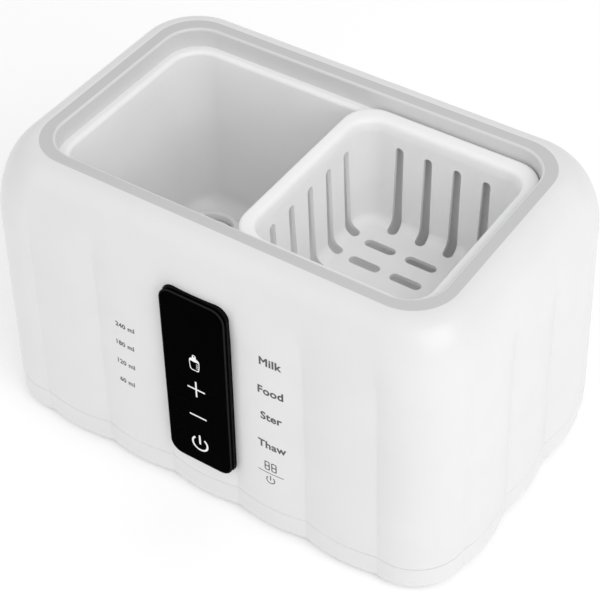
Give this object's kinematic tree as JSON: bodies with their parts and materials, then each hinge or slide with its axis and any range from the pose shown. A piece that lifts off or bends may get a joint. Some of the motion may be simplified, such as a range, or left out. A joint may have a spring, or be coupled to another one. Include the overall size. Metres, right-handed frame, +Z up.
{
  "type": "bottle warmer",
  "caption": "Double baby bottle warmer: lobed white housing, open water tank, lift-out slotted steam basket and black touch panel.",
  "frame": {"origin": "on the surface the four feet stand on, at the middle of the footprint's box", "axes": "+X is the width, towards the half that holds the basket; -Y is the front with the control panel; +Z is up"},
  "size_m": [0.2404, 0.1586, 0.143],
  "materials": {
    "shell": "gloss white moulded ABS",
    "tank": "satin white polypropylene",
    "basket": "satin white polypropylene",
    "panel_glass": "gloss black with white key symbols",
    "panel_black": "satin black moulded ABS",
    "diffuser": "milky light guide",
    "rubber": "grey rubber feet",
    "silicone": "translucent white silicone",
    "steel": "plain steel",
    "alloy": "brushed aluminium",
    "brass": "plated contact pins",
    "board": "green circuit board",
    "nylon": "natural nylon",
    "dark_plastic": "black plastic",
    "wire": "red wire insulation",
    "ribbon": "grey flat cable"
  },
  "bodies": {
    "warmer": {"base_cover": "shell", "base_screw_1": "steel", "base_screw_2": "steel", "base_screw_3": "steel", "base_screw_4": "steel", "board_screw_1": "steel", "board_screw_2": "steel", "board_screw_3": "steel", "board_screw_4": "steel", "capacitor": "dark_plastic", "clamp_screw_1": "steel", "clamp_screw_2": "steel", "control_glass": "panel_glass", "foot_1": "rubber", "foot_2": "rubber", "foot_3": "rubber", "foot_4": "rubber", "heater_clamp": "steel", "heater_lead_left": "wire", "heater_lead_right": "wire", "heater_left": "alloy", "heater_right": "alloy", "heater_terminal": "nylon", "heating_plate": "alloy", "inlet_pin_1": "brass", "inlet_pin_2": "brass", "light_guide": "diffuser", "main_board": "board", "mains_lead_1": "wire", "mains_lead_2": "wire", "mains_terminal": "nylon", "ntc_sensor": "dark_plastic", "outer_housing": "shell", "panel_bezel": "panel_black", "panel_ribbon": "ribbon", "plate_seal": "silicone", "power_inlet": "dark_plastic", "relay": "dark_plastic", "ribbon_plug": "nylon", "rim_seal": "silicone", "sensor_cap": "tank", "sensor_lead": "wire", "sensor_nut": "steel", "sensor_plug": "nylon", "sensor_seal": "silicone", "tank_screw_1": "steel", "tank_screw_2": "steel", "tank_screw_3": "steel", "tank_screw_4": "steel", "thermal_fuse": "alloy", "thermostat": "steel", "touch_board": "board", "touch_spring_1": "steel", "touch_spring_2": "steel", "touch_spring_3": "steel", "touch_spring_4": "steel", "transformer": "nylon", "water_tank": "tank"},
    "basket": {"steam_basket": "basket"}
  },
  "joints": [
    {"name": "basket_lift", "type": "slide", "parent": "warmer", "child": "basket", "axis": [0, 0, 1], "range_m": [0, 0.12]}
  ]
}
